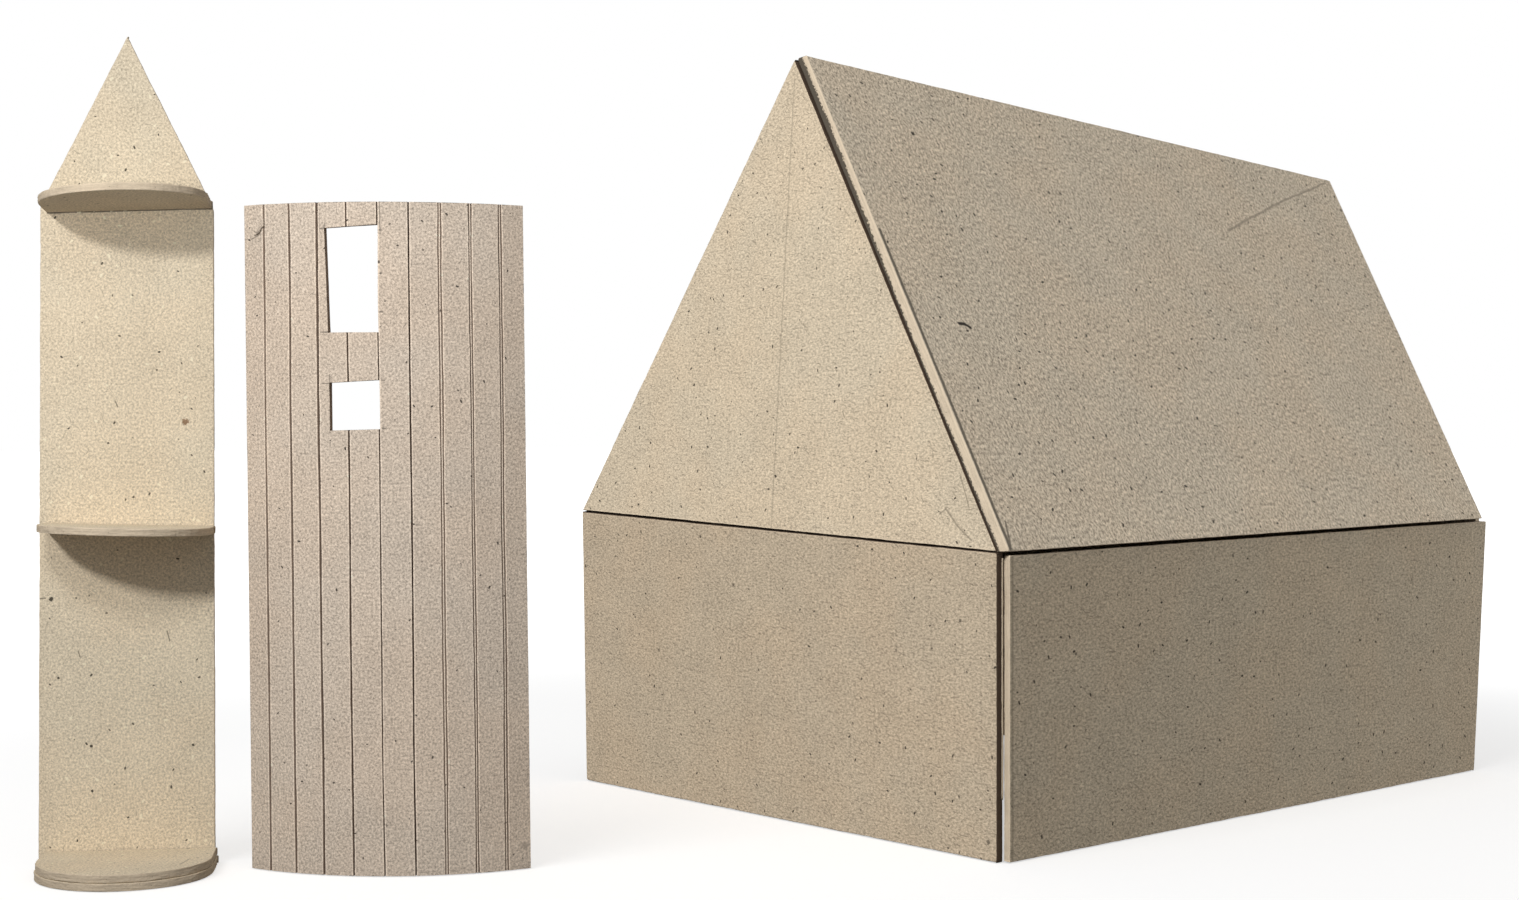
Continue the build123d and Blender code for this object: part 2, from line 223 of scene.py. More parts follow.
def board(side, thickness, seed, cut=0.4, spacing=0.5, flares=(), face=FACE, rim=CUT):
    """One flat board as a closed surface. One parameter runs round the outline, along its
    edges from corner to corner. The other runs from a loop on the front over the rim to a
    loop on the back, and gives the inset and the depth. Each corner moves inwards along the
    line that keeps both its edges at their inset, and the rim is roughened inwards by noise:
    long knife facets, short nicks and a separate wave for each ply. Flares are (direction,
    profile): the edges that look that way reach further out with depth, as the profile of
    (depth, reach) says, which makes the sloping side of a groove or a bevel."""
    outline, normal = side
    rng = np.random.default_rng(seed)
    outline = outline[edges_of(outline, normal)[1] > SHORTEST_EDGE]
    _, length, outward = edges_of(outline, normal)
    before = np.roll(outward, 1, axis=0)
    cosine = (outward * before).sum(1)[:, None]

    # Rows: front, rim, back. The insets shrink where a short edge leaves little room.
    levels = np.linspace(FRONT_ROWS[-1, 1], thickness - FRONT_ROWS[-1, 1], RIM_ROWS)[1:-1]
    rim_rows = np.column_stack((np.zeros(len(levels)), levels))
    back_rows = FRONT_ROWS[::-1] * (1, -1) + (0, thickness)
    rows = np.concatenate((FRONT_ROWS, rim_rows, back_rows))
    bend = np.sqrt((1 - cosine[:, 0]) / (1 + cosine[:, 0]))
    room = (length / (bend + np.roll(bend, -1))).min()
    inset = rows[:, 0] * min(1.0, 0.8 * room / FRONT_ROWS[0, 0])
    depth = rows[:, 1]
    inset_here = np.repeat(inset[:, None], len(outline), axis=1)
    for direction, profile in flares:
        facing = outward @ np.asarray(direction, float) > 0.7
        depths, reaches = np.array(profile).T * MM
        inset_here -= np.interp(depth, depths, reaches)[:, None] * facing
    inset_before = np.roll(inset_here, 1, axis=1)
    half_sum = (inset_here + inset_before)[:, :, None] / 2
    half_gap = (inset_here - inset_before)[:, :, None] / 2
    slide = (outward + before) * half_sum / (1 + cosine)
    slide += (outward - before) * half_gap / np.maximum(1 - cosine, 1e-3)

    # Columns: along each edge from corner to corner
    counts = np.maximum(1, np.round(length / (spacing * MM))).astype(int)
    edge = np.repeat(np.arange(len(outline)), counts)
    step = np.arange(len(edge)) - np.repeat(np.cumsum(counts) - counts, counts)
    part = (step / counts[edge])[None, :, None]
    start = (outline - slide)[:, edge]
    end = np.roll(outline - slide, -1, axis=1)[:, edge]
    points = start + (end - start) * part - normal * depth[:, None, None]
    perimeter = length.sum()
    place = (np.cumsum(length) - length)[edge] + part[0, :, 0] * length[edge]

    # Roughness of the cut, in millimetres
    plies = depth / thickness * PLIES
    rough = [
        share * (smooth_noise(place, wave * MM, rng, perimeter) * 0.5 + 0.5)
        for wave, share in (FACETS, NICKS)
    ] + [
        share * (layered_noise(place, plies, wave * MM, rng, perimeter) * 0.5 + 0.5)
        for wave, share in (PLY_WAVES, PLY_FRAY)
    ]
    rough = sum(rough) + GRIT * rng.uniform(0, 1, points.shape[:2])
    on_rim = np.clip(1 - inset / (0.75 * MM), 0, 1)[:, None]
    worn = np.minimum(step, counts[edge] - step) * spacing
    sharp = np.where((cosine[:, 0] < 0.9)[edge] | (np.roll(cosine[:, 0], -1) < 0.9)[edge], 1, 0)
    wear = CORNER_WEAR * np.exp(-((worn / WEAR_REACH) ** 2)) * sharp
    inward = (rough * cut + wear) * on_rim * MM
    bulge = BULGE * (smooth_noise(place, BULGE_WAVE * MM, rng, perimeter) + 0.7)
    near_edge = np.exp(-(((inset - 0.3 * MM) / (0.3 * MM)) ** 2)) * (depth < thickness / 2)
    lift = bulge * cut * near_edge[:, None] * MM
    points = points - outward[edge] * inward[:, :, None] + normal * lift[:, :, None]

    # Quads, and a polygon on each face
    row_count, column_count = points.shape[:2]
    index = np.arange(row_count * column_count).reshape(row_count, column_count)
    quads = ring_quads(index)
    axes = np.column_stack(board_axes(normal))
    flat = points @ axes - (outline @ axes).min(0)
    walk = np.stack(np.broadcast_arrays(place, depth[:, None]), axis=-1)
    cut_places = ring_quads(walk, walk + (perimeter / len(place), 0))
    cut_faces = np.zeros(quads.shape[:2], bool)
    cut_faces[len(FRONT_ROWS) - 3:row_count - len(FRONT_ROWS) + 1] = True
    drawing = np.where(cut_faces[:, :, None, None], cut_places, ring_quads(flat))
    middle = row_count // 2
    drawing[middle:][~cut_faces[middle:]] += BACK_SHIFT
    corners = np.concatenate((quads.reshape(-1), index[0], index[-1][::-1]))
    sizes = np.concatenate((np.full(quads.size // 4, 4), [column_count] * 2))
    places = np.concatenate((drawing.reshape(-1, 2), flat[0], flat[-1][::-1] + BACK_SHIFT))
    finishes = np.concatenate((np.where(cut_faces, rim, face).ravel(), [face, face]))
    return Shell(points.reshape(-1, 3), corners, sizes, places, finishes)


def board_fibres(side, thickness, count, seed, longest=1.0):
    """Torn fibres that stand out of a board's cut rim. Each is a three-sided tube along a
    line that bends with the square of the way along it, and narrows almost to a point."""
    outline, normal = side
    rng = np.random.default_rng(seed)
    run, length, outward = edges_of(outline, normal)
    edge = rng.choice(len(outline), count, p=length / length.sum())
    root = outline[edge] + run[edge] * rng.uniform(0.02, 0.98, count)[:, None]
    root = root - normal * (rng.uniform(0.05, 0.95, count) * thickness)[:, None]
    root = root - outward[edge] * 0.5 * MM
    along = run[edge] / length[edge][:, None]
    heading = outward[edge] + along * rng.normal(0, 1.3, count)[:, None]
    heading = heading + normal * rng.normal(0, 0.35, count)[:, None]
    heading = heading / np.linalg.norm(heading, axis=1)[:, None]
    reach = rng.uniform(0.4, 1, count) * longest * MM
    side = np.cross(heading, normal)
    side = side / np.maximum(np.linalg.norm(side, axis=1), 1e-6)[:, None]
    other = np.cross(heading, side)
    along = np.linspace(0, 1, 6)[None, :]
    bend = rng.normal(0, 0.35, (count, 1)) * along ** 2
    lift = rng.normal(0, 0.25, (count, 1)) * along ** 2
    line = root[:, None] + reach[:, None, None] * (
        heading[:, None] * along[:, :, None]
        + side[:, None] * bend[:, :, None]
        + other[:, None] * lift[:, :, None]
    )
    thick = rng.uniform(0.035, 0.075, (count, 1)) * (1 - 0.9 * along ** 2) * MM
    return closed_tubes(line, side, other, thick, 3, rng)


def fold_strip(start, end, radius, seed):
    """A thin rough tube from one point to another: the strip of face that holds a fold."""
    rng = np.random.default_rng(seed)
    run = end - start
    along = np.linspace(0, 1, int(np.linalg.norm(run) / MM) + 1)
    side = np.cross(run / np.linalg.norm(run), (0.6, 0.64, 0.48))
    side = side / np.linalg.norm(side)
    other = np.cross(run / np.linalg.norm(run), side)
    thick = radius * MM * (0.85 + 0.15 * smooth_noise(along, 0.03, rng))
    line = start + run * along[:, None]
    return closed_tubes(line[None], side[None], other[None], thick[None], 6, rng)


# The tower's scored sheet. All its sizes are in millimetres: along the outer face from the
# viewer's left, up the sheet, and through the board from the outer face.
SHEET_HEIGHT = 230.0
SHEET_LEAN = 2.8
SHEET_BOARD = 2.5
SHEET_PLACE = TO_RIGHT * 90.6 + AWAY * 11.0
STRIP_WIDTHS = np.array([9.0] + [10.6] * 8 + [9.0])
STRIP_TURN = 7.0
SCORE_MOUTHS = (0.8, 0.84, 0.84, 0.66, 0.42, 0.55, 1.35, 1.25, 1.35)
DOUBLE_SCORES = (6, 7, 8)
SCORE_LIP, LIP_END, LIP_RISE = 0.45, 0.9, 0.08
# Depths of a single and a double knife cut at shares of the groove's half width
GROOVE_SHARES = (0, 0.3, 0.65, 1)
SINGLE_GROOVE, DOUBLE_GROOVE = (1.9, 1.235, 0.532, 0), (0.15, 0.1, 0.95, 0)
DOUBLE_RIDGE = 0.32
FOLD_SPREAD = 1.2
WINDOW_LEFT_SCORE, WINDOW_RIGHT_SCORE = 3, 5
WINDOW_ROWS = ((152.0, 168.0), (185.5, 221.0))
WINDOW_INSET, SMALL_WINDOW_INSET = 2.8, 4.1
WINDOW_SKEW, SKEW_REACH = 1.0, 9
SHEET_SPACING = 1.6
BY_AN_EDGE = np.array((0.12, 0.35, 0.8))
RIM_LAYERS = 7

line_places = np.concatenate(([0.0], np.cumsum(STRIP_WIDTHS)))
strip_headings = np.radians(STRIP_TURN * (np.arange(10) - 4.5))
plan = np.zeros((11, 2))
plan[1:, 0] = np.cumsum(STRIP_WIDTHS * np.cos(strip_headings))
plan[1:, 1] = np.cumsum(STRIP_WIDTHS * np.sin(strip_headings))
plan -= (plan[0] + plan[-1]) / 2
turn_places = np.stack((line_places[:-1] + FOLD_SPREAD, line_places[1:] - FOLD_SPREAD), 1)


def on_sheet(place, height, depth):
    """Points of the sheet: the place along the bent outer face gives a point of the plan and
    a heading, the depth goes through the board, and the height also leans to the left."""
    heading = np.interp(place, turn_places.ravel(), np.repeat(strip_headings, 2))
    right = np.interp(place, line_places, plan[:, 0]) - np.sin(heading) * depth
    back = np.interp(place, line_places, plan[:, 1]) + np.cos(heading) * depth
    right = right - SHEET_LEAN * height / SHEET_HEIGHT
    flat = right[..., None] * TO_RIGHT + back[..., None] * AWAY
    return (SHEET_PLACE + flat + height[..., None] * UP) * MM


def graded(stops, near, spacing):
    """Each stop, the places near it on both sides, and an even run between."""
    runs = []
    for low, high in zip(stops, stops[1:]):
        count = max(1, round((high - low - 2 * near[-1]) / spacing))
        even = np.linspace(low + near[-1], high - near[-1], count + 1)[1:-1]
        runs.append(np.concatenate(([low], low + near, even, high - near[::-1])))
    return np.concatenate(runs + [[stops[-1]]])


def sheet_columns(level, scores, halves):
    """The sheet's grid lines: their places along the face at each level. They follow the
    sheet's edges, the scores and the windows' left edges, lie close together over each
    groove and its lips, and run evenly between. Also gives the column of each such line."""
    rows = len(level)
    heads = (WINDOW_ROWS[0][1], *WINDOW_ROWS[1])
    insets = (SMALL_WINDOW_INSET, WINDOW_INSET + WINDOW_SKEW, WINDOW_INSET)
    window_left = line_places[WINDOW_LEFT_SCORE] + np.interp(level, heads, insets)
    right_edge = np.full(rows, line_places[-1])
    lines = [np.zeros(rows), *scores[:3], window_left, *scores[3:], right_edge]
    plain = np.tile(BY_AN_EDGE, (rows, 1))
    groove = [
        np.column_stack((half * 0.3, half * 0.65, half, half + SCORE_LIP, half + LIP_END))
        for half in halves
    ]
    steps = [plain, *groove[:3], plain, *groove[3:], plain]
    runs = []
    columns = [0]
    for left, right, after, before in zip(lines, lines[1:], steps, steps[1:]):
        start, end = left + after[:, -1], right - before[:, -1]
        count = max(1, round(float((end - start).mean()) / SHEET_SPACING))
        even = start[:, None] + (end - start)[:, None] * np.linspace(0, 1, count + 1)[1:-1]
        run = (left[:, None], left[:, None] + after, even, right[:, None] - before[:, ::-1])
        runs.append(np.concatenate(run, axis=1))
        columns.append(columns[-1] + runs[-1].shape[1])
    return np.concatenate(runs + [right_edge[:, None]], axis=1), columns


def sheet_relief(place, scores, halves):
    """The grooves' depth over the grid, with the lips' rise taken off, the crease that each
    fold presses into the inner side, and which points lie in a groove or on a lip."""
    depth, crease = np.zeros(place.shape), np.zeros(place.shape)
    in_groove, on_lip = np.zeros(place.shape, bool), np.zeros(place.shape, bool)
    for number, (score, half) in enumerate(zip(scores, halves)):
        offset = place - score[:, None]
        far = np.abs(offset) / half[:, None]
        double = number in DOUBLE_SCORES
        depth += np.interp(far, GROOVE_SHARES, DOUBLE_GROOVE if double else SINGLE_GROOVE)
        on_lip |= double & (far < DOUBLE_RIDGE)
        beyond = np.abs(offset) - half[:, None]
        depth -= LIP_RISE * np.interp(beyond, (-0.1, 0, 0.3, 1.2), (0, 1, 0.7, 0))
        crease += 0.1 * np.exp(-(offset ** 2) / 0.2)
        in_groove |= far < 0.99
        on_lip |= (far > 0.99) & (np.abs(offset) < half[:, None] + SCORE_LIP + 0.01)
    return depth, crease, in_groove, on_lip


def sheet_rims(cells, kept):
    """The open sides of the kept cells as point pairs, walked so that the outside lies on
    the right, and each rim point's way into the sheet, by side and by height."""
    padded = np.pad(kept, 1)
    open_sides = (
        (~padded[1:-1, :-2], (0, 3), (1, 0)),
        (~padded[1:-1, 2:], (2, 1), (-1, 0)),
        (~padded[:-2, 1:-1], (1, 0), (0, 1)),
        (~padded[2:, 1:-1], (3, 2), (0, -1)),
    )
    inwards = np.zeros((cells.max() + 1, 2))
    starts, ends = [], []
    for is_open, (first, last), inward in open_sides:
        chosen = cells[kept & is_open]
        starts.append(chosen[:, first])
        ends.append(chosen[:, last])
        for corner in (first, last):
            inwards[chosen[:, corner]] += inward
    return np.concatenate(starts), np.concatenate(ends), np.sign(inwards)


def scored_sheet(seed):
    """The bent sheet as a grid over its face and its height, once for the outer side, with a
    V groove at each score between two raised lips, and once for the inner side. The grid's
    lines follow the scores and the windows. Where a cell has no neighbour, at the rims and
    the windows, rough walls of several layers join the two sides."""
    rng = np.random.default_rng(seed)
    row_stops = [0.0, *WINDOW_ROWS[0], *WINDOW_ROWS[1], SHEET_HEIGHT]
    level = graded(row_stops, BY_AN_EDGE, SHEET_SPACING)
    scores, halves = [], []
    for line_place, mouth in zip(line_places[1:-1], SCORE_MOUTHS):
        wander = 0.16 * smooth_noise(level, 40, rng) + 0.04 * smooth_noise(level, 5, rng)
        scores.append(line_place + wander)
        width = 1 + 0.16 * smooth_noise(level, 12, rng) + 0.1 * smooth_noise(level, 2.5, rng)
        halves.append(mouth / 2 * width)
    place, line_columns = sheet_columns(level, scores, halves)
    rows, columns = place.shape

    # The windows' heads slope. The slope fades out below the windows and beside them.
    left = line_places[WINDOW_LEFT_SCORE] + WINDOW_INSET
    right = line_places[WINDOW_RIGHT_SCORE]
    slope = np.interp(level, row_stops[1:], (WINDOW_SKEW / 2, WINDOW_SKEW, 0, WINDOW_SKEW, 0))
    slope[level < row_stops[1] - 6] = 0
    reach = (left - SKEW_REACH, left, right, right + SKEW_REACH)
    height = level[:, None] + slope[:, None] * np.interp(place, reach, (0, 0, 1, 0))
    depth, crease, in_groove, on_lip = sheet_relief(place, scores, halves)
    kept = np.ones((rows - 1, columns - 1), bool)
    for window in WINDOW_ROWS:
        low, high = (int(np.argmin(np.abs(level - stop))) for stop in window)
        kept[low:high, line_columns[4]:line_columns[6]] = False

    # Rough rims
    index = np.arange(rows * columns).reshape(rows, columns)
    cells = np.stack((index[:-1, :-1], index[:-1, 1:], index[1:, 1:], index[1:, :-1]), axis=-1)
    starts, ends, inwards = sheet_rims(cells, kept)
    rim = np.unique(starts)
    flat_place, flat_height = place.ravel(), height.ravel()
    walk = flat_place[rim] + flat_height[rim]
    swell = np.sin(np.linspace(0.25, pi - 0.35, RIM_LAYERS))
    facets = smooth_noise(walk, 6, rng) + 1
    rough = np.array([
        0.05 + amount * (0.08 * facets + 0.1 * (smooth_noise(walk, 2, rng) + 1)
                         + 0.07 * (smooth_noise(walk, 0.8, rng) + 1))
        for amount in swell
    ])
    shift = inwards[rim][None] * rough[:, :, None]
    through = np.linspace(0, 1, RIM_LAYERS)[:, None]
    rim_depth = depth.ravel()[rim] * (1 - through) + (SHEET_BOARD + crease.ravel()[rim]) * through
    rim_points = on_sheet(
        flat_place[rim] + shift[:, :, 0], flat_height[rim] + shift[:, :, 1], rim_depth
    )
    outer = on_sheet(place, height, depth).reshape(-1, 3)
    inner = on_sheet(place, height, SHEET_BOARD + crease).reshape(-1, 3)
    outer[rim], inner[rim] = rim_points[0], rim_points[-1]
    points = np.concatenate((outer, inner, rim_points[1:-1].reshape(-1, 3)))

    # Quads of both sides and of the walls, with their places on the sheet's drawing
    total = rows * columns

    def ladder(on_rim):
        """The numbers of rim points on each layer, from the outer side to the inner."""
        between = 2 * total + np.arange(RIM_LAYERS - 2)[:, None] * len(rim)
        return np.vstack((on_rim, between + np.searchsorted(rim, on_rim), total + on_rim))

    first, last = ladder(starts), ladder(ends)
    walls = np.stack((first[:-1], last[:-1], last[1:], first[1:]), axis=-1).reshape(-1, 4)
    outside = cells[kept]
    inside = outside[:, ::-1]
    flat = np.column_stack((flat_place, flat_height)) * MM
    wall_walk = (flat_place + flat_height)[np.stack((starts, ends, ends, starts), 1)]
    wall_walk = np.tile(wall_walk, (RIM_LAYERS - 1, 1))
    steps = np.repeat(np.arange(RIM_LAYERS - 1), len(starts))[:, None] + (0, 0, 1, 1)
    wall_places = np.stack((wall_walk, steps * SHEET_BOARD / (RIM_LAYERS - 1)), -1) * MM
    drawing = np.concatenate((flat[outside], flat[inside] + BACK_SHIFT, wall_places))
    groove_cells = in_groove.ravel()[outside].any(axis=1)
    lip_cells = on_lip.ravel()[outside].all(axis=1)
    # Lip cells take the lighter lip finish: a painted highlight for lips that catch the light
    outer_finish = np.where(lip_cells, LIP, np.where(groove_cells, CUT, FACE))
    others = np.repeat((FACE, CUT), (len(inside), len(walls)))
    quads = np.concatenate((outside, inside + total, walls))
    used, corners = np.unique(quads, return_inverse=True)
    return Shell(points[used], corners.ravel(), np.full(len(quads), 4), drawing.reshape(-1, 2),
                 np.concatenate((outer_finish, others)))


def sheet_ridge(path, width, lift):
    """A torn edge of face that stands up: a bump carried along a bent path on the sheet, as
    high in its middle as the lift and fading out at both ends."""
    path = np.array(path)
    steps = np.linspace(0, len(path) - 1, 30)
    place, height = (np.interp(steps, np.arange(len(path)), line) for line in path.T)
    run = np.gradient(np.column_stack((place, height)), axis=0)
    run = run / np.linalg.norm(run, axis=1)[:, None]
    fade = np.sin(np.linspace(0.02, pi - 0.02, len(steps))) ** 0.6
    side = np.array((-1, -0.6, -0.1, 0.35, 0.6, 0.6))
    rise = np.array((0, 0.5, 0.9, 1.0, 0.7, -0.4))
    spread = side[None, :] * width * fade[:, None]
    points = on_sheet(
        place[:, None] - run[:, 1:] * spread,
        height[:, None] + run[:, :1] * spread,
        0.12 - (rise[None, :] * lift + 0.12) * fade[:, None],
    )
    index = np.arange(points.size // 3).reshape(points.shape[:2])
    quads = ring_quads(index)
    corners = np.concatenate((quads.reshape(-1), index[0], index[-1, ::-1]))
    sizes = np.concatenate((np.full(quads.size // 4, 4), (len(side), len(side))))
    flat = np.stack(np.broadcast_arrays(place[:, None] + spread, height[:, None]), -1)
    drawing = flat.reshape(-1, 2)[corners] * MM
    return Shell(points.reshape(-1, 3), corners, sizes, drawing, np.full(len(sizes), FACE))


# Shaders

def paint(red, green, blue):
    """A display colour, 0 to 255, as the linear colour that shaders take."""
    shade = np.array((red, green, blue)) / 255
    linear = np.where(shade <= 0.04045, shade / 12.92, ((shade + 0.055) / 1.055) ** 2.4)
    return (*linear.tolist(), 1.0)


def lighter(tone, factor):
    """A tone times a factor, held under white."""
    return (*[min(0.95, part * factor) for part in tone[:3]], 1.0)


def warmer(tone):
    """The same tone with a little less green and blue."""
    return (tone[0] * 1.005, tone[1] * 0.985, tone[2] * 0.97, 1.0)


def cooler(tone):
    """The same tone a little darker and greyer."""
    return (tone[0] * 0.98, tone[1] * 0.984, tone[2] * 0.99, 1.0)


class Wire:
    """An output socket of a shader. Arithmetic on it adds Math nodes."""

    def __init__(self, finish, socket):
        self.finish = finish
        self.socket = socket

    def math(self, operation, *others):
        return self.finish.node("Math", {"operation": operation}, self, *others)

    __add__ = __radd__ = partialmethod(math, "ADD")
    __mul__ = __rmul__ = partialmethod(math, "MULTIPLY")
    __sub__ = partialmethod(math, "SUBTRACT")
    __truediv__ = partialmethod(math, "DIVIDE")
    __pow__ = partialmethod(math, "POWER")
    __lt__ = partialmethod(math, "LESS_THAN")
    __gt__ = partialmethod(math, "GREATER_THAN")
    size = partialmethod(math, "ABSOLUTE")

    def __rsub__(self, other):
        return self.finish.node("Math", {"operation": "SUBTRACT"}, other, self)

    def part(self, output):
        """Another output of the same node, by its number or name."""
        return Wire(self.finish, self.socket.node.outputs[output])

    def between(self, low, high):
        """0 below low, 1 above high and a smooth ramp between."""
        settings = {"interpolation_type": "SMOOTHSTEP", "clamp": True}
        return self.finish.node("MapRange", settings, self, low, high, 0.0, 1.0)


class Finish:
    """The shader of a material or of the world, under construction."""

    def __init__(self, holder):
        holder.use_nodes = True
        self.holder = holder
        self.tree = holder.node_tree
        self.tree.nodes.clear()
        self.shared = {}

    def node(self, kind, settings=None, *inputs, output=0, **named):
        """Adds a node: its settings first, then its sockets by order or by name."""
        made = self.tree.nodes.new("ShaderNode" + kind)
        for key, value in (settings or {}).items():
            setattr(made, key, value)
        for key, value in [*enumerate(inputs), *named.items()]:
            socket = made.inputs[key.replace("_", " ") if isinstance(key, str) else key]
            if isinstance(value, Wire):
                self.tree.links.new(value.socket, socket)
            elif value is not None:
                socket.default_value = value
        return Wire(self, made.outputs[output]) if made.outputs else None

    def mix(self, factor, first, second, blend="MIX"):
        """Two colours mixed. They go into the node's inputs 6 and 7, counted from 0."""
        settings = {"data_type": "RGBA", "blend_type": blend, "clamp_factor": True}
        return self.node("Mix", settings, factor, *[None] * 5, first, second, output=2)

    def vector(self, operation, *inputs, output=0):
        return self.node("VectorMath", {"operation": operation}, *inputs, output=output)

    def grey(self, light):
        """A colour of that much light."""
        return self.node("CombineColor", None, light, light, light)

    def drawing(self, shift=(0.0, 0.0, 0.0)):
        """The place on the board's own drawing, in millimetres, moved by a shift."""
        uv = self.node("UVMap", {"uv_map": "drawing"})
        place = self.node("VectorMath", {"operation": "SCALE"}, uv, Scale=1 / MM)
        return self.vector("ADD", place, shift)

    def noise(self, place, scale, detail=2.0, roughness=0.5, stretch=None, distortion=0.0):
        """Noise between about 0.2 and 0.8, scale waves to the millimetre."""
        if stretch:
            place = self.vector("MULTIPLY", place, stretch)
        settings = {"noise_dimensions": "2D"}
        return self.node("TexNoise", settings, Vector=place, Scale=scale, Detail=detail,
                         Roughness=roughness, Distortion=distortion)

    def shared_noise(self, place, scale, detail):
        """The same noise for all the marks of a material that ask for its scale."""
        if scale not in self.shared:
            self.shared[scale] = self.noise(place, scale, detail)
        return self.shared[scale]

    def specks(self, place, cell, share, length, width, curl=0.0, spread=2 * pi, turn=0.0):
        """Scattered strokes: each Voronoi cell holds one stroke at its point, turned at
        random within the spread about the turn, and only that share of the cells shows its
        own. Gives the mask and the cell's chances."""
        settings = {"voronoi_dimensions": "2D", "feature": "F1"}
        voronoi = self.node("TexVoronoi", settings, Vector=place, Scale=1 / cell)
        chances = self.node("SeparateColor", None, voronoi.part("Color"))
        turn_by = (chances - 0.5) * spread + turn
        size = chances.part(1) * 0.8 + 0.45
        shown = chances.part(2) < share
        offset = self.vector("SUBTRACT", place, voronoi.part("Position"))
        turned = self.node("VectorRotate", {"rotation_type": "Z_AXIS"}, Vector=offset,
                           Angle=turn_by)
        split = self.node("SeparateXYZ", None, turned)
        along = split / (size * (length / 2))
        across = split.part(1)
        if curl:
            across = across + along * along * (size * curl - curl * 0.8)
        across = across / (size * (width / 2))
        far = along * along * along * along + across * across
        return (1 - far.between(0.45, 1.15)) * shown, chances

    def line(self, place, start, end, width, waver=0.0):
        """A mask along a straight line between two places, in millimetres."""
        run = (end[0] - start[0], end[1] - start[1], 0.0)
        length = (run[0] ** 2 + run[1] ** 2) ** 0.5
        unit = (run[0] / length, run[1] / length, 0.0)
        from_start = self.vector("SUBTRACT", place, (start[0], start[1], 0.0))
        along = self.vector("DOT_PRODUCT", from_start, unit, output=1)
        across = self.vector("DOT_PRODUCT", from_start, (-unit[1], unit[0], 0.0), output=1)
        if waver:
            wave = self.shared_noise(place, 0.11, 1.0) - 0.5
            across = across + wave * (2 * waver)
        outside = (along - length / 2).size() - length / 2
        beyond = outside.math("MAXIMUM", 0.0)
        distance = (across * across + beyond * beyond) ** 0.5
        return 1 - distance.between(width * 0.25, width * 0.75)

    def spot(self, place, across, up_board, size, squash=(1.0, 1.0), ragged=0.35):
        """A mask of a ragged spot, in millimetres."""
        offset = self.vector("SUBTRACT", place, (across, up_board, 0.0))
        offset = self.vector("MULTIPLY", offset, (squash[0] / size, squash[1] / size, 0.0))
        far = self.vector("LENGTH", offset, output=1)
        wobble = (self.shared_noise(place, 1.5, 2.0) - 0.5) * (2 * ragged)
        return 1 - (far + wobble).between(0.42, 0.68)

    def finished(self, colour, height, distance):
        """The closing shader nodes: matt board with a bump of that height."""
        bump = self.node("Bump", None, Strength=1.0, Distance=distance, Height=height)
        matt = self.node("BsdfPrincipled", None, Base_Color=colour, Roughness=0.92,
                         Normal=bump, Specular_IOR_Level=0.25)
        self.node("OutputMaterial", None, matt)
        return self.holder

    def met_by(self, *rays):
        """1 where one of those kinds of ray meets the surface."""
        path = self.node("LightPath")
        met = path.part(rays[0])
        for ray in rays[1:]:
            met = met.math("MAXIMUM", path.part(ray))
        return met


# Strokes in the pulp: cell, share of cells, length and width in millimetres, curl, spread
FLECKS = (1.8, 0.42, 1.0, 0.42)
CURLED_FIBRES = (5.5, 0.4, 2.2, 0.26, 0.9)
LYING_FIBRES = (2.3, 0.6, 2.4, 0.42, 0.9, 1.8)
PALE_SPECKS = (7.0, 0.38, 1.4, 0.75, 0.3)
CUT_FIBRES = (1.6, 0.5, 2.6, 0.16, 0.3)
CUT_SPECKS = (4.0, 0.3, 0.6, 0.35)
# The way the pulp lies: the grain's stretch and the fibres' turn
PULP_LIES = {
    None: (None, 0.0),
    "level": ((0.7, 1.2, 0.0), 0.0),
    "upright": ((1.15, 0.8, 0.0), pi / 2),
}
FINE_WAVES = 0.95

# Marks on a face: their ink, as a factor of the face's tone or as a tone, how far it covers,
# their places in millimetres, settings for their masks, and how far they stand up. A place
# is (across, up, size) for a ragged spot and (start, end, width) for a line.
Marks = namedtuple("Marks", "ink cover places settings lift", defaults=({}, 0.0))


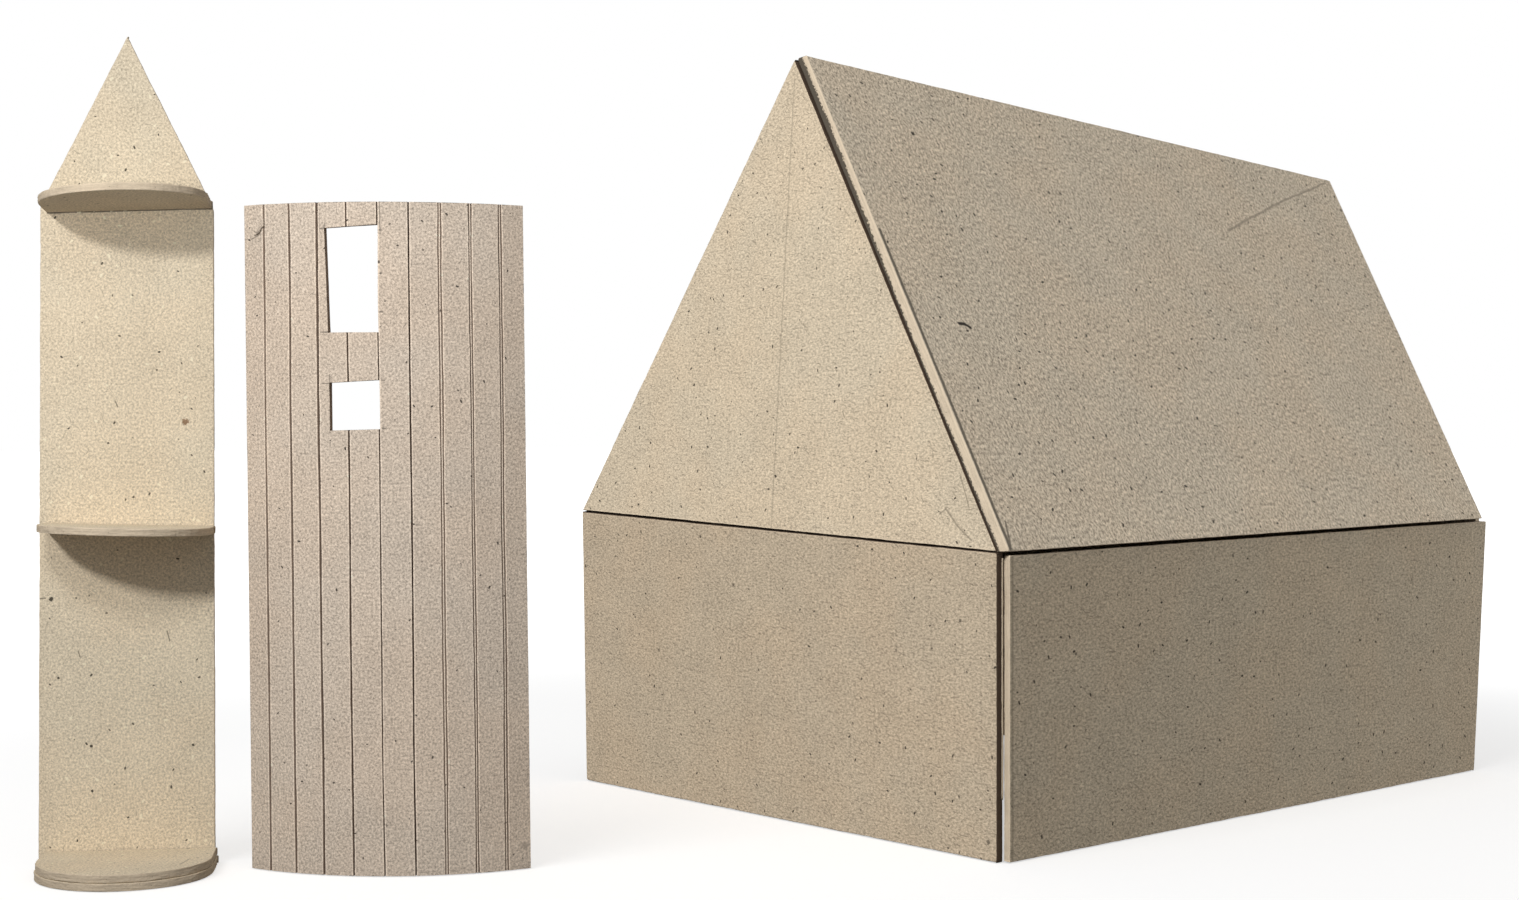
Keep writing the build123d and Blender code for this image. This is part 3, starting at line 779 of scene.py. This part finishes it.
def greyboard_face(name, tone, seed, marks=(), lie=None, waves=FINE_WAVES, contrast=1.0):
    """The face of pulp board: worm-like grain of so many waves to the millimetre, clouds that
    drift in light and hue, pale flecks, dark specks and curled fibres, with the piece's own
    marks over them. The hall's coarser board has more fibres, and most of them lie level, or
    upright on the right roof."""
    finish = Finish(bpy.data.materials.new(name))
    flat = finish.drawing()
    place = finish.vector("ADD", flat, (seed * 37.0, seed * 53.0, 0.0))
    stretch, turn = PULP_LIES[lie]
    grain = finish.noise(place, waves * 1.35, 2.0, 0.7, stretch, distortion=0.25)
    clouds = finish.noise(place, 0.05, 3.0, 0.6)
    drift = finish.noise(finish.vector("ADD", place, (71.0, 13.0, 0.0)), 0.018, 2.0, 0.6)
    light = 1 + (grain - 0.5) * (1.3 * contrast) + (clouds - 0.5) * 0.2
    colour = finish.mix(drift.between(0.36, 0.64), cooler(tone), warmer(tone))
    colour = finish.mix(1.0, colour, finish.grey(light), "MULTIPLY")
    flecks, kind = finish.specks(place, *FLECKS)
    fleck_tone = finish.mix(kind > 0.45, lighter(tone, 0.62), lighter(tone, 1.32))
    colour = finish.mix(flecks * 0.55, colour, fleck_tone)
    if lie:
        fibres, kind = finish.specks(place, *LYING_FIBRES, turn)
        fibre_tone = finish.mix(kind > 0.4, lighter(tone, 1.3), lighter(tone, 0.4))
    else:
        fibres, _ = finish.specks(place, *CURLED_FIBRES)
        fibre_tone = lighter(tone, 0.42)
    colour = finish.mix(fibres * 0.55, colour, fibre_tone)
    pale, _ = finish.specks(place, *PALE_SPECKS)
    coarse = FINE_WAVES / waves
    dark, _ = finish.specks(place, 8.0, 0.3 * coarse, 1.0 * coarse, 0.58 * coarse)
    colour = finish.mix(pale * 0.6, colour, lighter(tone, 1.45))
    colour = finish.mix(dark, colour, lighter(tone, 0.14))
    height = grain * 1.6 + pale * 0.4 + flecks * 0.3 + fibres * 0.4 - dark * 0.3
    for ink, cover, places, settings, lift in marks:
        for where in places:
            draw = finish.line if isinstance(where[0], tuple) else finish.spot
            mask = draw(flat, *where, **settings)
            ink_tone = ink if isinstance(ink, tuple) else lighter(tone, ink)
            colour = finish.mix(mask * cover, colour, ink_tone)
            if lift:
                height = height + mask * lift
    return finish.finished(colour, height, 0.08 * MM)


def greyboard_cut(name, tone, seed, gap_shade_from=None):
    """The cut rim of the board: layers of pulp along it, frayed and darker in between, with
    a painted highlight on the lip by the face. From the depth gap_shade_from on, in
    millimetres, it is painted ragged and dark, and more of it towards the ridge: painted shade
    of the gap in the joint beside the rim."""
    finish = Finish(bpy.data.materials.new(name))
    place = finish.drawing((seed * 41.0, 0.0, 0.0))
    depth = finish.node("SeparateXYZ", None, place).part(1)
    plies = finish.noise(place, 1.0, 3.0, 0.6, stretch=(0.1, 2.3, 0.0))
    fray = finish.noise(place, 1.9, 3.0, 0.6, stretch=(0.5, 1.6, 0.0))
    patches = finish.noise(place, 0.12, 2.0, 0.5)
    light = 1 + (plies - 0.5) * 0.5 + (fray - 0.5) * 0.34 + (patches - 0.5) * 0.2
    colour = finish.mix(1.0, tone, finish.grey(light), "MULTIPLY")
    fibres, _ = finish.specks(place, *CUT_FIBRES)
    colour = finish.mix(fibres * 0.5, colour, lighter(tone, 1.3))
    dark, _ = finish.specks(place, *CUT_SPECKS)
    colour = finish.mix(dark * 0.6, colour, lighter(tone, 0.3))
    # A painted highlight on the lip by the face
    lip = 1 - depth.between(0.15, 0.5)
    colour = finish.mix(lip * 0.5, colour, lighter(tone, 1.35))
    # Painted shade of the gap in the joint beside the rim, ragged and wider towards the ridge
    if gap_shade_from:
        seat = finish.node("TexCoord", None, output=3)
        rise = finish.node("SeparateXYZ", None, seat).part(2)
        ragged = depth + (fray - 0.5) * 1.8 + (patches - 0.5) * 0.9 + rise.between(0.17, 0.28)
        painted_gap_shade = ragged.between(gap_shade_from, gap_shade_from + 0.25)
        colour = finish.mix(painted_gap_shade * 0.95, colour, lighter(tone, 0.1))
    height = plies * 1.6 + fray * 1.2 + fibres * 0.6
    return finish.finished(colour, height, 0.06 * MM)


def edge_run(side, towards, inset, width):
    """A line for a board's own drawing, in millimetres: along the edge that looks towards a
    direction, that far inside it, and its width."""
    outline, normal = side
    run, length, outward = edges_of(outline, normal)
    facing = outward @ np.asarray(towards, float)
    edge = np.argmax(np.where(length > 0.15 * length.max(), facing, -9))
    axes = np.column_stack(board_axes(normal))
    ends = np.array((outline[edge], (outline + run)[edge])) - outward[edge] * inset * MM
    start, end = (ends @ axes - (outline @ axes).min(0)) / MM
    return tuple(start), tuple(end), width


def lower_part(run, share):
    """The lower share of such a line."""
    start, end = sorted(run[:2], key=lambda point: point[1])
    end = tuple(low + (high - low) * share for low, high in zip(start, end))
    return start, end, run[2]


# Tones of the boards
PANEL_TONE = paint(217, 203, 178)
SHELF_TONE = lighter(PANEL_TONE, 1.05)
WALL_TONE = paint(202, 187, 170)
HALL_TONE = paint(200, 185, 161)
ROOF_TONE = paint(186, 173, 153)
# Darker than the hall's tone: painted shade for the walls below the folds
SHADED_LOWER_WALL_TONE = paint(184, 168, 145)
CUT_TONE = paint(196, 180, 157)
# Painted shade: the dark tone of the gable's cut rims stands for the shade in the open corner
# joint
CORNER_SHADE_TONE = paint(76, 62, 50)
SCORE_TONE = paint(140, 122, 107)
STAIN = paint(124, 90, 60)

# The flat sides that the faces are drawn on
panel_side = flat_side("tower_back_panel", -AWAY)
gable_side = flat_side("hall_front_sheet", FRONT)
triangle_side = flat_side("hall_front_sheet", (0, -0.995, 0.1))
right_wall_side = flat_side("hall_front_sheet", (1, 0, 0))
rear_wall_side = flat_side("hall_rear_sheet", (0, 1, 0.3))
rear_triangle_side = flat_side("hall_rear_sheet", (0, 1, -0.6))
left_wall_side = flat_side("hall_rear_sheet", (-1, 0, 0))
right_roof_side = flat_side("right_roof_panel", (0.8, 0, 0.5))
left_roof_side = flat_side("left_roof_panel", (-0.8, 0, 0.5))

# Marks that the photograph shows, each at its place on the board's own drawing, from the
# board's lower left corner. Unnamed rows are specks, threads and pale flecks.
PANEL_MARKS = (
    Marks(0.12, 1.0, (
        (40.9, 179.4, 0.8), (40.2, 173.1, 0.6), (23.6, 147.5, 0.7), (6.8, 65.8, 0.8),
        (17.9, 41.9, 0.9), (52.5, 41.5, 0.8), (18.2, 26.2, 0.8), (4.4, 93.3, 1.4),
        (32.1, 128.6, 0.7), (12.8, 93.5, 0.5))),
    Marks(STAIN, 0.85, ((49.8, 154.9, 2.0),)),
    Marks(0.2, 0.75, (
        ((25.9, 162.2), (26.8, 160.2), 0.4), ((43.6, 81.6), (44.5, 78.2), 0.4),
        ((0.0, 93.4), (2.4, 93.6), 0.5), ((13.5, 75.0), (14.1, 73.0), 0.4))),
    # A dark line of painted shade in the joint under the top shelf, and torn pulp beside it
    Marks(0.15, 0.85, (((3.2, 227.6), (59.6, 229.9), 0.6),), {"waver": 0.15}),
    Marks(1.4, 0.6, ((49.1, 84.3, 1.1), (51.2, 17.3, 0.8))),
    Marks(1.5, 0.75, (
        (13.9, 228.0, 1.2), (19.0, 228.4, 0.9), (22.4, 226.2, 1.5), (27.8, 223.4, 1.3),
        (24.9, 228.6, 0.8), (29.3, 228.9, 1.0), (46.4, 217.6, 1.0)),
        {"squash": (1.0, 1.7), "ragged": 0.7}, 2.0),
)
# The short pencil line that crosses the base by the panel's right foot
BASE_MARKS = (Marks(0.5, 0.7, (((54.3, 29.4), (53.3, 19.5), 0.7),), {"waver": 0.2}),)
TRIANGLE_MARKS = (
    # A painted highlight on the fold's lip, a knife line along the right slope and the pencilled
    # middle
    Marks(1.22, 0.6, (edge_run(triangle_side, (0, 0, -1), 0.45, 0.6),), {"waver": 0.15}),
    Marks(0.6, 0.3, (edge_run(triangle_side, (0.85, 0, 0.5), 2.1, 0.4),), {"waver": 0.2}),
    Marks(0.5, 0.5, (((127.4, 181.0), (126.7, 3.0), 0.75),), {"waver": 0.3}),
    # Knife scratches by the right eave, and smudges
    Marks(0.4, 0.65, (
        ((222.7, 14.6), (229.0, 8.6), 0.8), ((229.0, 8.6), (236.4, 3.6), 0.7),
        ((219.8, 12.6), (222.9, 14.4), 0.6), ((229.6, 26.0), (234.6, 15.0), 0.6)),
        {"waver": 0.2}),
    Marks(0.35, 0.45, ((131.2, 11.2, 1.8), (129.9, 22.4, 1.2)), {"squash": (2.2, 0.8)}),
    Marks(0.12, 1.0, (
        (73.5, 61.1, 1.0), (83.4, 47.3, 0.8), (46.2, 37.1, 0.9), (160.2, 53.7, 0.9),
        (83.4, 96.0, 0.7), (127.7, 24.5, 1.1))),
    Marks(0.35, 0.7, (
        ((107.0, 118.2), (108.6, 117.6), 0.6), ((140.0, 84.0), (141.2, 82.8), 0.5),
        ((165.0, 49.8), (166.2, 47.4), 0.5)), {"waver": 0.2}),
    Marks(1.4, 0.6, (
        (168.4, 16.9, 1.5), (158.0, 34.0, 1.0), (112.7, 85.6, 0.9), (74.7, 83.1, 0.9))),
)
GABLE_MARKS = (
    # A painted highlight on the fold's lip
    Marks(1.22, 0.6, (edge_run(gable_side, (0, 0, 1), 0.4, 0.55),), {"waver": 0.15}),
    Marks(0.2, 0.75, (
        (245.2, 6.8, 1.6), (230.6, 21.0, 0.9), (246.0, 21.9, 0.8), (225.4, 9.9, 0.8),
        (231.1, 83.9, 1.2), (103.4, 89.9, 1.3), (198.0, 71.0, 0.9), (178.9, 51.6, 0.8),
        (161.0, 24.9, 0.8), (216.4, 36.6, 0.9), (41.2, 66.0, 0.8), (25.6, 104.5, 0.9))),
    Marks(1.4, 0.6, ((59.0, 48.2, 1.0), (89.4, 98.4, 1.0), (176.7, 14.7, 0.9))),
)
SIDE_MARKS = (
    # The lip along the torn corner, in a painted highlight, and the pressed line beside it
    Marks(1.5, 0.7, (edge_run(right_wall_side, FRONT, 0.3, 0.6),), {"waver": 0.15}),
    Marks(0.4, 0.5, (edge_run(right_wall_side, FRONT, 1.7, 1.1),), {"waver": 0.3}),
    Marks(0.25, 0.75, (
        (36.9, 71.0, 1.2), (95.6, 97.3, 0.9), (222.6, 39.9, 0.9), (114.7, 84.1, 0.8),
        (217.3, 49.1, 0.8), (282.0, 96.8, 0.9), (264.9, 87.2, 0.9))),
    Marks(1.5, 0.6, (
        (37.5, 30.4, 1.3), (107.0, 27.9, 1.1), (20.0, 73.2, 1.1), (44.4, 37.7, 0.9))),
)
ROOF_MARKS = (
    # The burr's painted highlight and painted shadow along the front cut, and a knife line by the
    # front eave
    Marks(1.45, 0.75, (edge_run(right_roof_side, FRONT, 0.3, 0.7),), {"waver": 0.15}),
    Marks(0.2, 0.9, (lower_part(edge_run(right_roof_side, FRONT, 1.5, 1.5), 0.62),),
          {"waver": 0.25}),
    Marks(0.25, 0.8, (((5.4, 10.6), (2.2, 1.0), 0.9),)),
    # The long crease and the thick black fibre
    Marks(0.5, 0.7, (
        ((245.9, 155.1), (299.7, 174.5), 1.2), ((299.7, 174.5), (352.0, 191.0), 1.0)),
        {"waver": 0.6}),
    Marks(0.05, 1.0, (((32.0, 96.5), (35.0, 96.4), 1.5), ((35.0, 96.4), (37.4, 94.9), 1.3)),
          {"waver": 0.2}),
    Marks(0.1, 1.0, (
        (59.6, 189.8, 1.7), (106.7, 46.6, 0.9), (53.9, 150.6, 1.2), (61.7, 169.9, 1.0),
        (22.9, 99.1, 1.1), (68.7, 64.3, 0.9), (49.1, 69.1, 1.1), (19.0, 98.6, 0.9))),
    Marks(0.3, 0.7, (((92.3, 37.6), (92.8, 34.2), 0.5),), {"waver": 0.1}),
    Marks(1.55, 0.7, (
        (34.7, 132.0, 1.2), (111.4, 166.3, 1.1), (83.2, 110.5, 1.0), (55.2, 116.7, 1.1),
        (254.6, 102.1, 1.1))),
)
(small_sill, small_head), (sill, head) = WINDOW_ROWS
left_score, right_score = line_places[WINDOW_LEFT_SCORE], line_places[WINDOW_RIGHT_SCORE]
window_edge, small_edge = left_score + WINDOW_INSET, left_score + SMALL_WINDOW_INSET
SHEET_MARKS = (
    # Knife lines that run on past the windows
    Marks(0.3, 0.75, (
        ((left_score + 0.3, head - 0.2), (window_edge, head), 0.6),
        ((left_score + 0.6, sill), (left_score + 3.8, sill), 0.5),
        ((window_edge, head), (window_edge, head + 1.2), 0.4),
        ((small_edge, small_head - 1), (small_edge, small_head + 3), 0.4),
        ((left_score + 1.4, small_head), (small_edge, small_head), 0.4),
        ((right_score, sill + 7.0), (right_score + 1.7, sill + 6.8), 0.5),
        ((right_score, head - 0.6), (right_score + 1.5, head - 0.9), 0.5),
        ((right_score, small_head + 1.2), (right_score + 2.0, small_head + 1.0), 0.5),
        ((right_score, small_sill + 0.8), (right_score + 2.0, small_sill + 0.6), 0.5))),
    # Second scores, pencil ticks, and the line along the foot
    Marks(0.4, 0.7, (
        ((left_score + 1.0, head - 1), (left_score + 0.9, SHEET_HEIGHT), 0.4),
        ((right_score + 1.1, head - 2), (right_score + 1.0, SHEET_HEIGHT), 0.4))),
    Marks(0.3, 0.8, tuple((place + 0.7, 17.4, 1.1) for place in line_places[4:10])),
    Marks(0.7, 0.4, (((0.0, 1.6), (line_places[-1], 1.3), 0.35),), {"waver": 0.3}),
    Marks(0.2, 0.8, (
        (2.4, 222.0, 0.6), (24.4, 206.5, 0.5), (66.9, 213.6, 0.7), (52.6, 205.4, 0.8),
        (81.0, 221.0, 0.5), (55.8, 222.4, 0.7), (71.6, 208.0, 0.6), (73.6, 192.0, 0.7))),
    # A stain by the lower right corner, and the painted shadow under the lifted scuff at the top
    # left
    Marks(0.5, 0.5, ((100.4, 8.0, 2.4),)),
    Marks(0.35, 0.75, (
        ((8.9, 222.0), (6.4, 219.3), 0.7), ((6.4, 219.3), (3.4, 218.2), 0.6),
        ((7.4, 219.8), (4.6, 220.8), 0.5)), {"waver": 0.3}),
)

# The tower's frame
panel = make_piece(
    "pointed_back_panel",
    [board(panel_side, TOWER_BOARD, 11, 0.35, 0.35),
     board_fibres(panel_side, TOWER_BOARD, 24, 12, 0.8)],
    [greyboard_face("panel_face", PANEL_TONE, 1, PANEL_MARKS),
     greyboard_cut("panel_cut", CUT_TONE, 1)],
    "tower_back_panel",
)
shelf_face = greyboard_face("shelf_face", SHELF_TONE, 2)
base_face = greyboard_face("base_face", SHELF_TONE, 3, BASE_MARKS)
# Darker than the other shelves: painted shade for the top shelf's underside
shaded_top_face = greyboard_face("top_shelf_face_painted_shade", lighter(PANEL_TONE, 0.82), 17)
shelf_cut = greyboard_cut("shelf_cut", CUT_TONE, 2)
# Each half disc: its node, name, board, seed, count of torn fibres and face
SHELVES = (
    ("base_half_disc_lower", "lower_base_board", BASE_BOARD, 21, 0, shelf_face),
    ("base_half_disc_upper", "upper_base_board", BASE_BOARD, 22, 45, base_face),
    ("middle_half_disc", "middle_shelf", TOWER_BOARD, 23, 45, shelf_face),
    ("top_half_disc", "top_shelf", TOWER_BOARD, 24, 45, shaded_top_face),
)
tower_pieces = [panel]
for node, name, thickness, seed, fibre_count, disc_face in SHELVES:
    side = flat_side(node, UP)
    shells = [board(side, thickness, seed, 0.8, 0.22)]
    if fibre_count:
        shells.append(board_fibres(side, thickness, fibre_count, seed + 10, 0.8))
    tower_pieces.append(
        make_piece(name, shells, [disc_face, shelf_cut], node)
    )

# The tower's scored front
SCUFF_PATH = ((8.9, 225.0), (8.8, 222.6), (7.0, 220.3), (4.4, 219.2))
scored_wall = make_piece(
    "scored_front_wall",
    [scored_sheet(61), sheet_ridge(SCUFF_PATH, 0.75, 0.7)],
    [greyboard_face("sheet_face", WALL_TONE, 6, SHEET_MARKS, contrast=1.35),
     greyboard_cut("sheet_cut", SCORE_TONE, 6),
     # Painted highlight on the lips of the scores
     greyboard_face("sheet_lip_painted_highlight", lighter(WALL_TONE, 1.3), 6)],
    "tower_wall",
)

# The hall. The sloping sides of the fold's groove meet near the back of the board.
FOLD_PROFILE = ((0.0, 0.0), (2.1, 0.22), (2.6, 0.75), (3.0, 0.75))
CORNER_PROFILE = ((0.0, 0.0), (1.4, -0.1), (3.0, -0.5))
REAR_FOLD_PROFILE = ((0.0, 0.3), (3.0, 0.3))
SKIN = 0.5
TORN_HEIGHT, EAVE_HEIGHT = 22.0, 107.0
TRIANGLE, SIDE, CORNER = 2, 3, 4
hall_cut = greyboard_cut("hall_cut", CUT_TONE, 3)
corner = gable_side[0][np.argmax(gable_side[0] @ (1.0, 0.0, -1.0))]
corner_foot, corner_top = (
    corner + np.array((-0.2, HALL_BOARD / MM - 0.2, rise)) * MM
    for rise in (TORN_HEIGHT, EAVE_HEIGHT)
)
front_sheet = make_piece(
    "gable_and_right_wall",
    [board(gable_side, HALL_BOARD, 31, flares=[((0, 0, 1), FOLD_PROFILE)], rim=CORNER),
     board(triangle_side, HALL_BOARD, 32, flares=[((0, 0, -1), FOLD_PROFILE)],
           face=TRIANGLE, rim=CORNER),
     board(right_wall_side, HALL_BOARD, 33, flares=[(FRONT, CORNER_PROFILE)], face=SIDE),
     fold_strip(corner_foot, corner_top, SKIN, 34),
     board_fibres(right_wall_side, HALL_BOARD, 60, 35)],
    [greyboard_face("gable_face_painted_shade", SHADED_LOWER_WALL_TONE, 7, GABLE_MARKS, "level", 0.8, 1.25),
     hall_cut,
     greyboard_face("triangle_face", HALL_TONE, 4, TRIANGLE_MARKS, "level", 0.8, 1.15),
     greyboard_face("side_wall_face", lighter(HALL_TONE, 0.94), 8, SIDE_MARKS, "level",
                    0.7, 1.2),
     # Painted shade on the cut rims of the gable and its triangle
     greyboard_cut("corner_cut_painted_shade", CORNER_SHADE_TONE, 14)],
    "hall_front_sheet",
)
rear_foot = rear_wall_side[0][np.argmin(rear_wall_side[0] @ (1.0, 0.0, 1.0))]
rear_top = rear_wall_side[0][np.argmax(rear_wall_side[0] @ (-1.0, 0.0, 1.0))]
inside_corner = np.array((-0.1, 0.2 - HALL_BOARD / MM, 0.0)) * MM
rear_sheet = make_piece(
    "rear_gable_and_left_wall",
    [board(rear_wall_side, HALL_BOARD, 41, flares=[((0, 0, 1), REAR_FOLD_PROFILE)]),
     board(rear_triangle_side, HALL_BOARD, 43, flares=[((0, 0, -1), REAR_FOLD_PROFILE)],
           face=TRIANGLE),
     board(left_wall_side, HALL_BOARD, 42, face=SIDE),
     fold_strip(rear_foot + inside_corner + UP * MM, rear_top + inside_corner - UP * MM,
                SKIN, 44)],
    [greyboard_face("rear_wall_face_painted_shade", SHADED_LOWER_WALL_TONE, 12, (), "level", 0.8, 1.2), hall_cut,
     greyboard_face("rear_triangle_face", HALL_TONE, 9, (), "level", 0.8, 1.2),
     greyboard_face("left_wall_face", HALL_TONE, 13, (), "level", 0.8, 1.2)],
    "hall_rear_sheet",
)

# The roof. The right board's front edge is cut at a slant, and its eave edge level, so that
# its face comes down close to the wall.
ROOF_BEVEL = ((0.0, 0.0), (2.2, 2.2), (3.0, 2.2))
EAVE_BEVEL = ((0.0, 1.6), (3.0, 0.0))
DOWN_THE_ROOF = (0.54, 0, -0.84)
right_roof = make_piece(
    "right_roof_board",
    [board(right_roof_side, HALL_BOARD, 51,
           flares=[(FRONT, ROOF_BEVEL), (DOWN_THE_ROOF, EAVE_BEVEL)]),
     board_fibres(right_roof_side, HALL_BOARD, 50, 53)],
    [greyboard_face("roof_face", ROOF_TONE, 5, ROOF_MARKS, "upright", 0.62, 1.8),
     # The rim's dark band from 2.1 mm deep on is painted shade of the gap at the gable
     greyboard_cut("roof_cut_painted_gap_shade", CUT_TONE, 15, gap_shade_from=2.1)],
    "right_roof_panel",
)
left_roof = make_piece(
    "left_roof_board",
    [board(left_roof_side, HALL_BOARD, 52)],
    [greyboard_face("left_roof_face", ROOF_TONE, 10, (), "level", 0.7, 1.5), hall_cut],
    "left_roof_panel",
)


# The room: floor, lamps and camera
WHITE = (1.0, 1.0, 1.0, 1.0)
ROOM_STRENGTH = 0.34
FLOOR_REACH = 12.0
FLOOR_DROP = 0.0002
FLOOR_MIDDLE = (0.06, 0.28, 0.0)
FLOOR_FADE = (0.35, 1.1)


def white_floor():
    """A pale floor that keeps soft shadows and runs out into white."""
    finish = Finish(bpy.data.materials.new("white_floor"))
    place = finish.node("TexCoord", None, output=3)
    place = finish.vector("SUBTRACT", place, FLOOR_MIDDLE)
    far = finish.vector("LENGTH", place, output=1).between(*FLOOR_FADE)
    glow = finish.node("Emission", None, Color=WHITE, Strength=far * 0.4 + 0.6)
    pale = finish.node("BsdfDiffuse", None, Color=(0.8, 0.8, 0.8, 1))
    bright = finish.node("AddShader", None, glow, pale)
    dim = finish.node("BsdfDiffuse", None, Color=(0.3, 0.29, 0.28, 1))
    seen = finish.met_by("Is Camera Ray", "Is Glossy Ray", "Is Transmission Ray")
    shown = finish.node("MixShader", None, seen, dim, bright)
    finish.node("OutputMaterial", None, shown)
    return finish.holder


def room_light(strength):
    """Even light from all round, and plain white where the camera sees it."""
    world = bpy.data.worlds.new("soft_room")
    bpy.context.scene.world = world
    room = Finish(world)
    soft = room.node("Background", None, WHITE, strength)
    bare = room.node("Background", None, WHITE, 1.0)
    seen = room.met_by("Is Camera Ray", "Is Glossy Ray")
    shown = room.node("MixShader", None, seen, soft, bare)
    room.node("OutputWorld", None, shown)


def collected(name, pieces):
    """A collection that a lamp's links can name."""
    made = bpy.data.collections.new(name)
    for piece in pieces:
        made.objects.link(piece)
    return made


def window_light(name, aim, turn, rise, distance, size, light, lit, shading):
    """A square soft lamp that looks at a point, in millimetres, from the viewer's left by its
    turn and from above by its rise, in degrees. It lights its own pieces alone, and only its
    shading pieces shade it. A light of 1 shows a surface that faces it at about its own
    tone."""
    data = bpy.data.lights.new(name, "AREA")
    data.shape = "SQUARE"
    data.size = size
    data.energy = light * pi ** 2 * distance ** 2
    lamp = bpy.data.objects.new(name, data)
    level = -AWAY * cos(radians(turn)) - TO_RIGHT * sin(radians(turn))
    direction = level * cos(radians(rise)) + UP * sin(radians(rise))
    lamp.location = np.array(aim) * MM + direction * distance
    lamp.visible_camera = False
    lamp.rotation_euler = Vector(-direction).to_track_quat("-Z", "Y").to_euler()
    bpy.context.scene.collection.objects.link(lamp)
    lamp.light_linking.receiver_collection = collected(name + "_lit", lit)
    lamp.light_linking.blocker_collection = collected(name + "_shading", shading)


floor_mesh = bpy.data.meshes.new("floor")
square = np.array(((-1, -1, 0), (1, -1, 0), (1, 1, 0), (-1, 1, 0))) * FLOOR_REACH
floor_mesh.from_pydata(square.tolist(), [], [(0, 1, 2, 3)])
floor_mesh.materials.append(white_floor())
floor = bpy.data.objects.new("floor", floor_mesh)
floor.location.z = -FLOOR_DROP
bpy.context.scene.collection.objects.link(floor)

hall_pieces = [front_sheet, rear_sheet, right_roof, left_roof]
all_pieces = [*tower_pieces, scored_wall, *hall_pieces]
room_light(ROOM_STRENGTH)
window_light("tower_lamp", (0, 0, 190), 14.5, 22, 1.2, 0.1, 0.56, tower_pieces, tower_pieces)
window_light("tower_near", (-12, 7, 225), 0, 0, 0.2, 0.03, 0.36, tower_pieces, tower_pieces)
window_light("sheet_lamp", (58, 69, 225), 14, 22, 0.6, 0.1, 1.0, [scored_wall], [scored_wall])
window_light("hall_lamp", (0, 300, 190), 40, 40, 2.4, 0.5, 1.06, hall_pieces, hall_pieces)
window_light("hall_right", (160, 500, 120), -62, 12, 0.7, 0.5, 0.25, hall_pieces, hall_pieces)
window_light("floor_lamp", (40, 200, 0), 36, 50, 2.0, 0.9, 0.2, [floor], all_pieces)

# The camera stands level in front of the set. The horizon is a little above the middle.
FRAME_WIDTH = 1519
FOCAL_PIXELS = 2300
SENSOR = 36.0
HORIZON_RISE = 25
CAMERA_PLACE = (0.7432, -0.3387, 0.1538)
camera_data = bpy.data.cameras.new("camera")
camera_data.sensor_width = SENSOR
camera_data.lens = FOCAL_PIXELS / FRAME_WIDTH * SENSOR
camera_data.shift_y = -HORIZON_RISE / FRAME_WIDTH
camera = bpy.data.objects.new("camera", camera_data)
camera.location = CAMERA_PLACE
camera.rotation_euler = (pi / 2, 0.0, VIEWER_TURN)
bpy.context.scene.collection.objects.link(camera)
bpy.context.scene.camera = camera
bpy.context.scene.view_settings.view_transform = "Standard"

bpy.context.view_layer.update()
